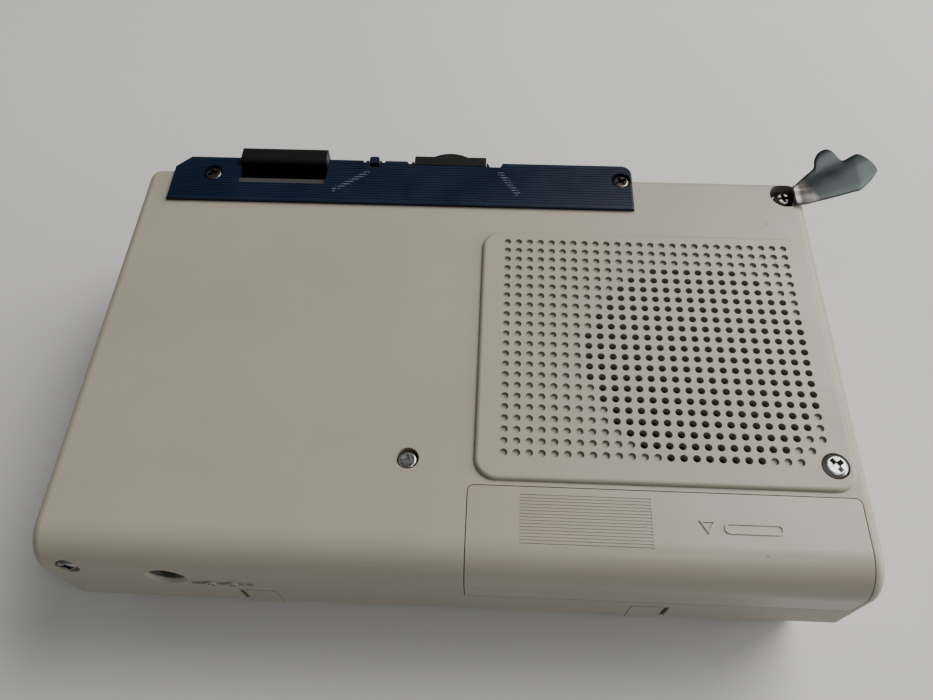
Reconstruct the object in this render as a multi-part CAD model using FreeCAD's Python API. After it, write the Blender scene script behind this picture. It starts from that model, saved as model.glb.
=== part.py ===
import FreeCAD, Part
import math
import os

# Portable cassette player, lying on its front with its back up.
# Millimetres. X runs along the case, Y points away from the door hinge, +Z is up.
# The origin is on the resting face, at the centre of the case.

os.makedirs("parts", exist_ok=True)
V = FreeCAD.Vector
X_AXIS, Y_AXIS, Z_AXIS = V(1, 0, 0), V(0, 1, 0), V(0, 0, 1)

# ---- driving dimensions ----
CASE_W, CASE_D, CASE_H = 159.0, 98.0, 39.0
HALF_W, HALF_D = CASE_W / 2, CASE_D / 2
SPLIT_Z = 15.0                # parting line between the two shells
SPLIT_GAP = 0.3
WALL, ROOF = 2.2, 2.2
ROOF_IN = CASE_H - ROOF
NEAR_R, END_R, CORNER_R = 7.3, 2.0, 3.0
TAPER = 3.6                   # how far the front shell draws in at its face
FRONT_WALL = 1.8

PAD_X, PAD_Y = (3.5, 77.2), (-30.5, 30.9)
PAD_UP, PAD_R = 0.9, 4.5
PITCH, HOLE_R, COLS, ROWS = 2.5, 0.78, 26, 22
HOLE_X0, HOLE_Y0, BLIND_DEEP = 9.25, 27.6, 0.65
SPEAKER_C, SPEAKER_OPEN_R, SPEAKER_R = (50.5, -2.4), 25.2, 26.4

DOOR_X, DOOR_Y, DOOR_Z, DOOR_GAP, DOOR_T = (2.4, 77.25), -31.4, 25.0, 0.18, 1.8
PATCH_X, PATCH_Y, PATCH_RIBS, PATCH_DEEP = (12.5, 37.3), (-43.0, -32.9), 16, 0.13

PANEL_X, PANEL_Y, PANEL_Z = (-73.2, 39.0), (38.4, 52.3), (3.4, 39.9)
KEY_X = {"pause": -62.0, "record": -47.5, "play": -12.0, "rewind": 2.0, "fast_forward": 16.0}
KEY_W, KEY_Z, KEY_Y = 12.6, (6.2, 16.8), (46.6, 53.0)
STOP_X = (-56.8, -35.7)
NUB_X, NUB_GAP, NUB_FAR = (-25.3, -22.9), 0.2, 53.4
WHEEL_C, WHEEL_R, WHEEL_Z = (-5.3, 48.2), 8.2, (35.7, 38.7)
WHEEL_ROOM = 0.45
BLOCK_X, BLOCK_FAR = (-14.1, 3.5), 54.1

CASSETTE_EDGE_Y = 35.0
HUB_X, HUB_Y = 21.25, CASSETTE_EDGE_Y - 29.1
CAPSTAN_C = (-29.0, 28.4)
CHASSIS_Z = (16.0, 17.2)
FLYWHEEL_R, FLYWHEEL_Z = 17.0, (18.2, 22.2)
PULLEY_R, MOTOR_C, MOTOR_R = 3.0, (-62.0, -10.0), 14.0
GEAR_MODULE, DRIVE_TEETH, IDLER_TEETH, REEL_TEETH = 0.5, 16, 24, 40
GEAR_Z = (22.5, 23.7)
ROLLER_R, ROLLER_C = 5.0, (-29.0, 40.4)
FIT = 0.05                    # radial running clearance

EAR_X, EAR_W, HINGE_Y, HINGE_Z = 38.8, 6.5, -47.9, 20.2
JACK_X, JACK_Z = -55.3, 29.4
LAMP_AT = (-68.3, 30.0)
SOCKET_Y, SOCKET_Z = {"earphone": 33.0, "microphone": 21.0}, 26.5
BACK_SCREW, CORNER_SCREW, GRILLE_SCREW = (-9.5, -26.5), (75.3, 44.7), (73.2, -25.4)
NEAR_SCREW_X, NEAR_SCREW_Z, NEAR_SCREW_SUNK = -73.3, 32.8, 1.8
PANEL_SCREWS, PANEL_SCREW_Z = ((-63.4, 46.9), (36.3, 47.3)), 38.3
BACK_SCREW_Z = 36.8
DOOR_R = 1.2
BOX_X, BOX_Y, BOX_Z, BOX_WALL = (6.0, 66.0), (-44.4, -29.9), (8.0, 36.6), 0.9


# ---- helpers ----
def box(x, y, z):
    return Part.makeBox(x[1] - x[0], y[1] - y[0], z[1] - z[0], V(x[0], y[0], z[0]))


def cyl(centre, radius, z):
    return Part.makeCylinder(radius, z[1] - z[0], V(centre[0], centre[1], z[0]))


def tube(centre, outer, inner, z):
    return cyl(centre, outer, z).cut(cyl(centre, inner, (z[0] - 1, z[1] + 1)))


def cone(centre, low_r, high_r, z):
    return Part.makeCone(low_r, high_r, z[1] - z[0], V(centre[0], centre[1], z[0]))


def cyl_y(x, z, radius, y):
    return Part.makeCylinder(radius, y[1] - y[0], V(x, y[0], z), Y_AXIS)


def cyl_x(y, z, radius, x):
    return Part.makeCylinder(radius, x[1] - x[0], V(x[0], y, z), X_AXIS)


def fuse(shapes):
    shapes = list(shapes)
    return shapes[0].multiFuse(shapes[1:]).removeSplitter() if len(shapes) > 1 else shapes[0]


def cut(shape, tools):
    return shape.cut(Part.Compound(list(tools)))


def rounded_plate(x, y, z, radius):
    """A plate whose vertical edges are rounded."""
    plate = box(x, y, z)
    edges = [e for e in plate.Edges if abs(e.tangentAt(e.FirstParameter).z) > 0.99]
    return plate.makeFillet(radius, edges)


def edges_where(shape, test):
    return [e for e in shape.Edges if test(e.CenterOfMass, e)]


def grow(span, amount):
    return (span[0] - amount, span[1] + amount)


def export(name, *shapes):
    solids = [s for shape in shapes for s in shape.Solids]
    made = solids[0] if len(solids) == 1 else Part.Compound(solids)
    bad = [s for s in solids if not s.isValid() or s.Volume <= 0]
    box_ = made.BoundBox
    print(f"{name:20s} solids {len(solids):3d} volume {made.Volume:10.1f}",
          f"x {box_.XMin:7.2f} {box_.XMax:7.2f} y {box_.YMin:7.2f} {box_.YMax:7.2f}",
          f"z {box_.ZMin:6.2f} {box_.ZMax:6.2f}", "BAD" if bad else "")
    made.exportStep(f"parts/{name}.step")
    return made


# ---- case ----
def case_profile(inset, low_z):
    """The case above low_z as one solid, with its large near radius, drawn in by inset."""
    near, far, top = -HALF_D + inset, HALF_D - inset, CASE_H - inset
    radius = NEAR_R - inset
    side = HALF_W - inset
    turn = math.sqrt(0.5) * radius
    start, end = V(-side, near, top - radius), V(-side, near + radius, top)
    middle = V(-side, near + radius - turn, top - radius + turn)
    corners = [V(-side, far, top), V(-side, far, low_z), V(-side, near, low_z)]
    lines = [Part.makeLine(a, b) for a, b in zip([end] + corners, corners + [start])]
    wire = Part.Wire([Part.Arc(start, middle, end).toShape()] + lines)
    return Part.Face(wire).extrude(V(2 * side, 0, 0))


def case_outside():
    """The outer form of the back half, with all its roundings."""
    body = case_profile(0, SPLIT_Z)
    upright = edges_where(body, lambda c, e: c.y > HALF_D - 0.1 and abs(abs(c.x) - HALF_W) < 0.01)
    body = body.makeFillet(CORNER_R, upright)
    rim = edges_where(body, lambda c, e: (abs(abs(c.x) - HALF_W) < 0.01 or c.z > CASE_H - 0.1)
                      and c.z > SPLIT_Z + 0.1 and not (e.Length > 100 and c.y < 0)
                      and not is_upright(e, c))
    return body.makeFillet(END_R, rim)


def is_upright(edge, centre):
    """True for the far vertical edges, which are already rounded."""
    return centre.y > HALF_D - CORNER_R - 0.5 and abs(edge.tangentAt(edge.FirstParameter).z) > 0.99


def screw_boss(centre, radius, bore, z):
    return tube(centre, radius, bore, z)


def polarity_mark():
    """Raised generic sign under the power socket: two rings joined by a bar, then two dashes."""
    z, face, ring_r, thick = JACK_Z - 3.1, (-HALF_D - 0.38, -HALF_D + 0.3), 1.25, 0.34
    centres = (-47.3, -43.1)
    rings = [cyl_y(x, z, ring_r, face).cut(cyl_y(x, z, ring_r - 1.5 * thick, face)) for x in centres]
    dots = [cyl_y(x, z, 0.36, face) for x in centres]
    bars = [box((x, x + length), face, (z - thick, z + thick))
            for x, length in ((-51.1, 2.65), (-46.15, 1.9), (-41.95, 1.0), (-40.3, 1.4))]
    return rings + dots + bars


def back_shell():
    body = case_outside().cut(case_profile(WALL, SPLIT_Z - 1))
    bosses = [
        screw_boss(BACK_SCREW, 4.0, 0.9, (17.7, ROOF_IN + 0.5)),
        screw_boss((72.0, -25.4), 4.2, 0.9, (28.0, ROOF_IN + 0.5)).common(
            box((60, 77.6), (-40, 0), (20, 40))),
        box((70.6, 77.6), (40.4, 47.2), (28.0, ROOF_IN + 0.5)),
        box((-77.6, -67.8), (-47.2, -41.0), (29.0, ROOF_IN + 0.5)),
        box((-67.2, -59.6), (42.6, 46.4), (24.0, ROOF_IN + 0.5)),
        box((32.4, 40.4), (42.6, 47.1), (24.0, ROOF_IN + 0.5)),
        box((-35, 15), (36.4, 38.2), (33.6, ROOF_IN + 0.5)),
    ]
    bosses += [screw_boss(c, 2.5, 0.8, (32.5, ROOF_IN + 0.5)) for c in ((-40, -14), (14, -14), (-12, 28))]
    bosses += [box(grow((s * EAR_X - 3.6, s * EAR_X + 3.6), 2.2), (-47.1, -46.55), (17.0, 23.4)) for s in (-1, 1)]
    within = case_profile(WALL / 2, SPLIT_Z)
    body = fuse([body] + [boss.common(within) for boss in bosses] + polarity_mark())
    tools = [
        rounded_plate(DOOR_X, (-70, DOOR_Y), (DOOR_Z, 50), DOOR_R + DOOR_GAP),
        grille_plate(0.1, (CASE_H - 1.05, CASE_H + 1)),
        speaker_opening(SPEAKER_OPEN_R, (30, 50)),
        box((-71.0, 36.9), (46.5, 60), (SPLIT_Z - 1, 50)),
        box((-58.9, 31.9), (39.6, 60), (ROOF_IN - 0.1, 50)),
        box((-71.0, 36.9), (40.0, 60), (CASE_H - 1.25, 50)),
        cyl_y(JACK_X, JACK_Z, 3.45, (-60, -40)),
        Part.makeCone(4.1, 3.3, 0.8, V(JACK_X, -HALF_D - 0.01, JACK_Z), Y_AXIS),
        cyl(BACK_SCREW, 2.25, (BACK_SCREW_Z, 50)), cyl(BACK_SCREW, 1.35, (20, 50)),
        cyl(GRILLE_SCREW, 1.35, (28.5, 50)),
        cyl(CORNER_SCREW, 3.6, (35.0, 50)), cyl(CORNER_SCREW, 1.35, (29, 50)),
        cyl_y(NEAR_SCREW_X, NEAR_SCREW_Z, 2.35, (-60, -HALF_D + NEAR_SCREW_SUNK)),
        cyl_y(NEAR_SCREW_X, NEAR_SCREW_Z, 1.35, (-60, -42)),
    ]
    tools += [cyl(c, 1.35, (19, 50)) for c in PANEL_SCREWS]
    tools += [cyl(c, 2.35, (PANEL_SCREW_Z, 50)) for c in PANEL_SCREWS]
    tools += [cyl_x(y, SOCKET_Z, 2.6, (-90, -70)) for y in SOCKET_Y.values()]
    for side in (-1, 1):
        centre = side * EAR_X
        half = EAR_W / 2 + 0.15
        low, high = (centre - half, centre + half) if side > 0 else (centre - half - 0.9, centre + half)
        if side > 0:
            high += 0.9
        tools.append(box((low, high), (-60, -46.0), (SPLIT_Z - 1, SPLIT_Z + 7.15)))
        pins = (min(centre - 5.2, centre + 5.2), max(centre - 5.2, centre + 5.2))
        tools.append(cyl_x(HINGE_Y, HINGE_Z, 0.7 + FIT, pins))
    return cut(body, tools)


def speaker_opening(radius, z):
    return cyl(SPEAKER_C, radius, z).common(box((0, 74.4), (-60, 60), z))


def grille_plate(extra, z):
    inset = 1.0 - extra
    return rounded_plate(grow(PAD_X, -inset), grow(PAD_Y, -inset), z, PAD_R - inset)


def hole_present(col, row):
    """The last rows stop short to leave room for the corner screw."""
    return not (row == ROWS - 2 and col == COLS - 1) and not (row == ROWS - 1 and col >= COLS - 2)


def speaker_grille():
    pad = rounded_plate(PAD_X, PAD_Y, (CASE_H, CASE_H + PAD_UP), PAD_R)
    rim = edges_where(pad, lambda c, e: c.z > CASE_H + PAD_UP - 0.01)
    pad = pad.makeFillet(0.85, rim)
    body = pad.fuse(grille_plate(0, (CASE_H - 1.0, CASE_H + 0.1)))
    through, blind = [], []
    for row in range(ROWS):
        for col in range(COLS):
            at = (HOLE_X0 + col * PITCH, HOLE_Y0 - row * PITCH)
            if not hole_present(col, row):
                continue
            reach = math.dist(at, SPEAKER_C)
            if reach < SPEAKER_OPEN_R - HOLE_R:
                through.append(cyl(at, HOLE_R, (CASE_H - 3, CASE_H + 2)))
            else:
                blind.append(cyl(at, HOLE_R, (CASE_H + PAD_UP - BLIND_DEEP, CASE_H + 2)))
    body = cut(body, through + blind)
    return cut(body, [cyl(GRILLE_SCREW, 2.75, (CASE_H - 0.35, 60)), cyl(GRILLE_SCREW, 1.5, (CASE_H - 3, 60))])


def front_loft(inset, low_z, high_z):
    """A tapered block between two rounded rectangles."""
    wires = []
    for z in (low_z, high_z):
        drawn = TAPER * (1 - z / SPLIT_Z) + inset
        half_w, half_d = HALF_W - drawn, HALF_D - drawn
        plate = rounded_plate((-half_w, half_w), (-half_d, half_d), (z, z + 1), CORNER_R)
        face = min(plate.Faces, key=lambda f: f.CenterOfMass.z)
        wires.append(face.OuterWire)
    return Part.makeLoft(wires, True, True)


def front_shell():
    high = SPLIT_Z - SPLIT_GAP
    body = front_loft(0.25, 0, high).cut(front_loft(0.25 + FRONT_WALL, 2.0, high + 1))
    posts = [(-64, 30), (64, 30), (-64, -24), (61, -20)]
    extras = [screw_boss(p, 3.2, 0.9, (1.9, CHASSIS_Z[0] - 0.02)) for p in posts]
    extras += [screw_boss(c, 3.0, 0.9, (1.9, high)) for c in ((72.3, 41.5), (-72.0, -41.0), (72.0, -41.0))]
    body = fuse([body] + extras)
    tools = [
        box((-56.2, 56.2), (-60, 37.0), (-1, SPLIT_Z + 1)),
        box((-71.0, 36.9), (44.0, 60), (PANEL_Z[0] - 0.1, SPLIT_Z + 1)),
        box((-73.4, 39.2), (46.0, 60), (PANEL_Z[0] - 0.1, SPLIT_Z + 1)),
        box((55.0, 67.3), (-45.7, -28.0), (2.0, SPLIT_Z + 1)),
    ]
    return cut(body, tools)


# ---- battery compartment ----
def battery_door():
    skin = case_outside().cut(case_profile(DOOR_T, SPLIT_Z - 1))
    span_x = grow(DOOR_X, -DOOR_GAP)
    blank = rounded_plate(span_x, (-70, DOOR_Y - DOOR_GAP), (DOOR_Z + DOOR_GAP, 50), DOOR_R)
    door = skin.common(blank)
    low = CASE_H - 3.0
    lip = [box((x, x + 12), (DOOR_Y - 1.4, DOOR_Y + 1.9), (low, low + 0.62)) for x in (12, 34, 56)]
    lip += [box((x, x + 12), (DOOR_Y - 1.4, DOOR_Y - 0.5), (low, CASE_H - DOOR_T + 0.1)) for x in (12, 34, 56)]
    step = (PATCH_Y[1] - PATCH_Y[0]) / PATCH_RIBS
    grooves = []
    for k in range(PATCH_RIBS):
        y = PATCH_Y[1] - (k + 0.5) * step
        top = surface_z(y)
        grooves.append(box(PATCH_X, (y - 0.17, y + 0.17), (top - PATCH_DEEP, top + 2)))
    return cut(fuse([door] + lip + [arrow_mark()]), grooves)


def surface_z(y):
    """Height of the outer surface over the near radius."""
    centre_y, centre_z = -HALF_D + NEAR_R, CASE_H - NEAR_R
    if y >= centre_y:
        return CASE_H
    return centre_z + math.sqrt(NEAR_R ** 2 - (centre_y - y) ** 2)


def arrow_mark():
    """Raised outline triangle that points the way the door slides, and a plain raised pill."""
    z = (CASE_H - 0.2, CASE_H + 0.22)

    def triangle(inset):
        pts = [V(46.0 + inset * 1.75, -37.0 - inset, z[0]), V(49.2 - inset * 1.75, -37.0 - inset, z[0]),
               V(47.6, -39.6 + inset * 1.9, z[0])]
        return Part.Face(Part.makePolygon(pts + pts[:1])).extrude(V(0, 0, z[1] - z[0]))

    pill = rounded_plate((50.6, 61.6), (-39.4, -37.2), z, 1.05)
    pill = pill.cut(rounded_plate((51.0, 61.2), (-39.0, -37.6), z, 0.65))
    return triangle(0).cut(triangle(0.3)).fuse(pill)


def battery_box():
    outer = box(grow(BOX_X, BOX_WALL), (BOX_Y[0] - BOX_WALL, BOX_Y[1] + BOX_WALL), (BOX_Z[0] - 0.9, 34.6))
    hollow = box(BOX_X, BOX_Y, (BOX_Z[0], 50))
    mouth = box(BOX_X, (-60, BOX_Y[0] + 1), (DOOR_Z - 0.2, 50))
    return cut(outer, [hollow, mouth])


def battery_contacts():
    """Flat plates at the ends of the compartment and the tags soldered to them."""
    y = (BOX_Y[0] + 1.0, BOX_Y[1] - 1.0)
    left = box((BOX_X[0] + 0.02, BOX_X[0] + 0.4), y, (9.0, 35.5))
    right = [box((BOX_X[1] - 0.4, BOX_X[1] - 0.02), y, z) for z in ((9.0, 21.6), (23.4, 34.4))]
    return [left] + right


def battery_springs():
    middle = (BOX_Y[0] + BOX_Y[1]) / 2
    made = []
    for z, x, way in ((15.3, BOX_X[0] + 0.42, 1), (29.9, BOX_X[1] - 0.42, -1)):
        outside = Part.makeCone(4.6, 2.6, 5.0, V(x, middle, z), V(way, 0, 0))
        inside = Part.makeCone(3.9, 1.9, 5.0, V(x, middle, z), V(way, 0, 0))
        made.append(outside.cut(inside))
    return made


# ---- screws ----
def pan_screw(head_r, head_h, shank_r, length):
    """A pan head screw standing on z 0, head up, with a cross recess."""
    head = Part.makeCylinder(head_r, head_h)
    rim = edges_where(head, lambda c, e: c.z > head_h - 0.01)
    head = head.makeFillet(head_h * 0.55, rim)
    shank = Part.makeCylinder(shank_r, length, V(0, 0, -length))
    arm, width, deep = head_r * 0.62, head_r * 0.2, head_h * 0.62
    cross = [box((-arm, arm), (-width, width), (head_h - deep, head_h + 1)),
             box((-width, width), (-arm, arm), (head_h - deep, head_h + 1))]
    return cut(head.fuse(shank), cross)


def screw_at(x, y, z, head_r=2.1, head_h=1.5, shank_r=1.25, length=8.0, spin=20, tilt=None):
    made = pan_screw(head_r, head_h, shank_r, length)
    made.rotate(V(0, 0, 0), Z_AXIS, spin)
    if tilt:
        made.rotate(V(0, 0, 0), X_AXIS, tilt)
    made.translate(V(x, y, z))
    return made


def case_screws():
    return [
        screw_at(*BACK_SCREW, BACK_SCREW_Z + 0.02, length=15.2),
        screw_at(*GRILLE_SCREW, CASE_H - 0.33, head_r=2.5, head_h=1.7, spin=35, length=8),
        screw_at(*CORNER_SCREW, 36.45, spin=10, length=6),
        screw_at(NEAR_SCREW_X, -HALF_D + NEAR_SCREW_SUNK - 0.02, NEAR_SCREW_Z, length=4.4, spin=0, tilt=90),
    ]


# ---- control panel, keys and switches ----
def control_panel():
    x, y, z = PANEL_X, PANEL_Y, PANEL_Z
    top = box(x, y, (CASE_H + 0.02, z[1]))
    under = box((-70.8, 36.7), (40.2, 49.2), (CASE_H - 1.2, CASE_H + 0.1))
    face = box(x, (49.1, y[1]), (z[0], CASE_H + 0.1))
    body = fuse([top, under, face])
    corner = edges_where(body, lambda c, e: abs(c.x - x[0]) < 0.01 and abs(c.y - y[1]) < 0.01)
    body = body.makeChamfer(3.4, corner)
    corner = edges_where(body, lambda c, e: abs(c.x - x[1]) < 0.01 and abs(c.y - y[1]) < 0.01)
    body = body.makeFillet(2.6, corner)
    far = edges_where(body, lambda c, e: c.z > z[1] - 0.01 and c.y > y[0] + 0.5 and e.Length > 0.5)
    body = body.makeFillet(0.5, far)
    tools = [box((-70.8, 36.7), (48.0, 50.4), (4.6, CASE_H - 1.25))]
    for centre in KEY_X.values():
        tools.append(box((centre - KEY_W / 2 - 0.2, centre + KEY_W / 2 + 0.2), (48, 60), grow(KEY_Z, 0.2)))
    tools.append(box(grow(STOP_X, 0.35), (44.0, 60), (24.7, 50)))
    tools.append(box(grow(NUB_X, NUB_GAP), (48.0, 60), (32.8, 37.7)))
    tools.append(box(grow(NUB_X, NUB_GAP), (50.0, 60), (37.6, 50)))
    tools.append(box(grow(BLOCK_X, 0.15), (48.7, 60), (21.8, 38.6)))
    tools.append(box(grow(BLOCK_X, 0.15), (50.85, 60), (38.5, 50)))
    tools.append(cyl(WHEEL_C, WHEEL_R + WHEEL_ROOM, grow(WHEEL_Z, WHEEL_ROOM)))
    tools += [cyl(c, 2.35, (PANEL_SCREW_Z, 50)) for c in PANEL_SCREWS]
    tools += [cyl(c, 1.35, (35, 50)) for c in PANEL_SCREWS]
    tools.append(cyl_y(*LAMP_AT, 1.6, (40, 60)))
    tools += [box((x0, x0 + 0.8), (48, 60), (27.5, 32.5)) for x0 in (25.0, 26.8, 28.6)]
    nicks = ((-26.4, 1.5, 1.0, 0.25), (-21.8, 1.6, 1.0, 0.25), (-15.2, 1.9, 1.2, 0.25), (5.75, 4.0, 1.6, 0.65))
    tools += [notch(*nick) for nick in nicks]
    groove = 0.8
    count = int((y[1] - 0.9 - (y[0] + 0.8)) / groove)
    for k in range(count):
        g = y[0] + 1.0 + k * groove
        tools.append(box((x[0] - 1, x[1] + 1), (g, g + 0.28), (z[1] - 0.08, z[1] + 1)))
    return cut(body, tools)


def notch(centre, width, depth, flat_share):
    """A nick in the far edge of the panel's top strip, narrower at its floor."""
    edge, z = PANEL_Y[1] + 0.1, CASE_H - 2.2
    flat = width * flat_share
    pts = [V(centre - width / 2, edge, z), V(centre - flat / 2, edge - depth, z),
           V(centre + flat / 2, edge - depth, z), V(centre + width / 2, edge, z)]
    return Part.Face(Part.makePolygon(pts + pts[:1])).extrude(V(0, 0, 6))


def key_cap(centre):
    x = (centre - KEY_W / 2, centre + KEY_W / 2)
    cap = box(x, KEY_Y, KEY_Z)
    front = edges_where(cap, lambda c, e: c.y > KEY_Y[1] - 0.01)
    cap = cap.makeFillet(0.6, front)
    middle = (KEY_Z[0] + KEY_Z[1]) / 2
    dish = Part.makeCylinder(22.0, KEY_W + 2, V(x[0] - 1, KEY_Y[1] + 21.3, middle), X_AXIS)
    dish = dish.common(box(grow(x, -1.4), (40, 60), KEY_Z))
    pocket = cyl_y(centre, middle, 2.3, (KEY_Y[0] - 1, KEY_Y[0] + 4.4))
    stem = box((centre - 5.4, centre - 3.2), (KEY_Y[0] - 1.2, KEY_Y[0] + 0.1), (8.0, 14.0))
    return cut(cap.fuse(stem), [dish, pocket])


def key_springs():
    """One return spring behind each key, drawn as a sleeve at its pressed length."""
    middle = (KEY_Z[0] + KEY_Z[1]) / 2
    return [cyl_y(c, middle, 1.9, (42.1, 47.9)).cut(cyl_y(c, middle, 1.3, (42.0, 48.0))) for c in KEY_X.values()]


def key_frame():
    """Two upright plates behind the keys, with a gap for the pinch roller, and their feet."""
    made = []
    for x in ((-69.5, -39.5), (-19.5, 25.0)):
        wall = box(x, (41.2, 42.0), (4.8, CHASSIS_Z[0] - 0.02))
        made.append(wall)
    return made


def stop_eject_key():
    bar = box(STOP_X, (49.7, 54.5), (36.4, 41.3))
    long_edges = edges_where(bar, lambda c, e: e.Length > 10 and (c.z > 41 or c.y > 54))
    bar = bar.makeFillet(1.1, long_edges)
    body = box(STOP_X, (47.6, 53.1), (25.0, 36.5))
    rim = edges_where(body, lambda c, e: c.y > 53.0 and c.z < 36.4)
    return bar.fuse(body.makeFillet(0.6, rim))


def key_guide():
    """The grey sill that shows in the panel's opening in front of the bar."""
    sill = box((STOP_X[0] - 0.2, STOP_X[1] + 0.2), (44.15, 46.2), (37.0, 38.9))
    foot = box((STOP_X[0] - 0.2, STOP_X[1] + 0.2), (42.3, 46.2), (36.6, 37.4))
    return sill.fuse(foot)


def lock_button():
    head = box(NUB_X, (51.3, NUB_FAR), (33.0, PANEL_Z[1]))
    tip = edges_where(head, lambda c, e: c.y > NUB_FAR - 0.1 and abs(c.x - sum(NUB_X) / 2) > 1)
    return head.makeFillet(0.7, tip).fuse(box(NUB_X, (49.3, 51.4), (33.0, 37.4)))


def volume_surround():
    """The black block that the wheel turns in, with room for the wheel and its control."""
    low = box(BLOCK_X, (48.9, BLOCK_FAR), (22.0, 38.45))
    high = box(BLOCK_X, (51.0, BLOCK_FAR), (38.4, PANEL_Z[1]))
    block = low.fuse(high)
    rim = edges_where(block, lambda c, e: c.y > BLOCK_FAR - 0.1)
    block = block.makeFillet(0.5, rim)
    slot = cyl(WHEEL_C, WHEEL_R + WHEEL_ROOM, grow(WHEEL_Z, WHEEL_ROOM))
    room = box((WHEEL_C[0] - 4.5, WHEEL_C[0] + 4.5), (40, 52.8), (23, WHEEL_Z[0]))
    return cut(block, [slot, room])


def volume_wheel():
    disc = cyl(WHEEL_C, WHEEL_R, WHEEL_Z)
    rim = edges_where(disc, lambda c, e: True)
    disc = disc.makeFillet(0.4, [e for e in rim if e.Curve.TypeId == "Part::GeomCircle"])
    teeth = 44
    grooves = []
    for k in range(teeth):
        turn = 2 * math.pi * k / teeth
        at = (WHEEL_C[0] + (WHEEL_R + 0.12) * math.cos(turn), WHEEL_C[1] + (WHEEL_R + 0.12) * math.sin(turn))
        grooves.append(cyl(at, 0.35, (WHEEL_Z[0] - 1, WHEEL_Z[1] + 1)))
    disc = cut(disc, grooves)
    hub = cyl(WHEEL_C, 1.5, (27.4, WHEEL_Z[0] + 0.5))
    return disc.fuse(hub)


def volume_pot():
    """A round can with a neck that guides the wheel's hub, and three legs on the board."""
    can = cyl(WHEEL_C, 4.2, (24.1, 29.2)).fuse(cyl(WHEEL_C, 2.7, (29.1, WHEEL_Z[0] - 0.8)))
    can = can.cut(cyl(WHEEL_C, 1.5 + FIT, (27.3, 40)))
    legs = [box((WHEEL_C[0] + dx - 0.4, WHEEL_C[0] + dx + 0.4), (42.6, 45.6), (24.1, 25.0)) for dx in (-2.2, 0, 2.2)]
    return fuse([can] + legs)


def control_board():
    return box((-17.0, 6.5), (36.2, 47.6), (22.9, 24.05))


# ---- mechanism ----
def posts_at(points, radius, z):
    return [cyl(p, radius, z) for p in points]


MOTOR_POSTS = ((-49.5, -24.0), (-67.0, 9.5))
BEARING_POSTS = ((-50.0, 38.0), (-8.6, 32.6), (-7.0, 14.0))


def chassis_plate():
    plate = rounded_plate((-68, 68), (-28.0, 43.2), CHASSIS_Z, 2.0)
    adds = [tube(CAPSTAN_C, 2.6, 1.0 + FIT, (15.75, 18.0))]
    adds += [tube((s * HUB_X, HUB_Y), 2.4, 1.2 + FIT, (15.7, 18.0)) for s in (-1, 1)]
    adds += posts_at(MOTOR_POSTS, 2.0, (17.1, 21.2))
    adds += posts_at(BEARING_POSTS, 2.0, (17.1, 24.4))
    body = fuse([plate] + adds)
    tools = [cyl(CAPSTAN_C, 1.0 + FIT, (10, 30))]
    tools += [cyl((s * HUB_X, HUB_Y), 1.2 + FIT, (10, 30)) for s in (-1, 1)]
    tools += [cyl(p, 1.4, (10, 30)) for p in ((-64, 30), (64, 30), (-64, -24), (61, -20))]
    tools += [cyl(BACK_SCREW, 1.2, (10, 30))]
    tools += [rounded_plate((28, 46), (-18, 12), (10, 30), 2.0)]
    tools += [rounded_plate((-8, 8), (14, 30), (10, 30), 2.0)]
    return cut(body, tools)


def chassis_screws():
    places = ((-64, 30), (64, 30), (-64, -24), (61, -20))
    return [screw_at(x, y, CHASSIS_Z[1] + 0.02, 2.3, 1.4, 0.85, 7.0, spin=15 * k) for k, (x, y) in enumerate(places)]


def flywheel():
    disc = cyl(CAPSTAN_C, FLYWHEEL_R, FLYWHEEL_Z)
    rim = edges_where(disc, lambda c, e: e.Curve.TypeId == "Part::GeomCircle")
    disc = disc.makeFillet(0.4, rim)
    well = tube(CAPSTAN_C, 13.5, 5.0, (20.2, 23.0))
    return cut(disc, [well, cyl(CAPSTAN_C, 1.0, (10, 30))])


def capstan():
    return cyl(CAPSTAN_C, 1.0, (5.0, 25.6))


def gear(centre, teeth, z, bore, phase=0.0):
    """A spur gear with straight-flanked teeth. One tooth points along phase, in radians."""
    pitch_r = GEAR_MODULE * teeth / 2
    root_r, tip_r = pitch_r - 1.2 * GEAR_MODULE, pitch_r + 0.85 * GEAR_MODULE
    step = 2 * math.pi / teeth
    points = []
    for k in range(teeth):
        middle = phase + k * step
        for radius, share in ((root_r, -0.36), (pitch_r, -0.225), (tip_r, -0.11),
                              (tip_r, 0.11), (pitch_r, 0.225), (root_r, 0.36)):
            turn = middle + share * step
            points.append(V(centre[0] + radius * math.cos(turn), centre[1] + radius * math.sin(turn), z[0]))
    wheel = Part.Face(Part.makePolygon(points + points[:1])).extrude(V(0, 0, z[1] - z[0]))
    return wheel.cut(cyl(centre, bore, (z[0] - 1, z[1] + 1)))


def idler_centre():
    """The third corner of the triangle that the gear train makes."""
    reel = (-HUB_X, HUB_Y)
    near = GEAR_MODULE * (DRIVE_TEETH + IDLER_TEETH) / 2
    far = GEAR_MODULE * (IDLER_TEETH + REEL_TEETH) / 2
    apart = math.dist(CAPSTAN_C, reel)
    along = (near ** 2 - far ** 2 + apart ** 2) / (2 * apart)
    aside = math.sqrt(near ** 2 - along ** 2)
    ux, uy = (reel[0] - CAPSTAN_C[0]) / apart, (reel[1] - CAPSTAN_C[1]) / apart
    return (CAPSTAN_C[0] + along * ux - aside * uy, CAPSTAN_C[1] + along * uy + aside * ux)


def heading(a, b):
    return math.atan2(b[1] - a[1], b[0] - a[0])


IDLER_C = idler_centre()


def drive_gear():
    """A tooth of the drive gear points at the idler."""
    return gear(CAPSTAN_C, DRIVE_TEETH, GEAR_Z, 1.0, heading(CAPSTAN_C, IDLER_C))


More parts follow.
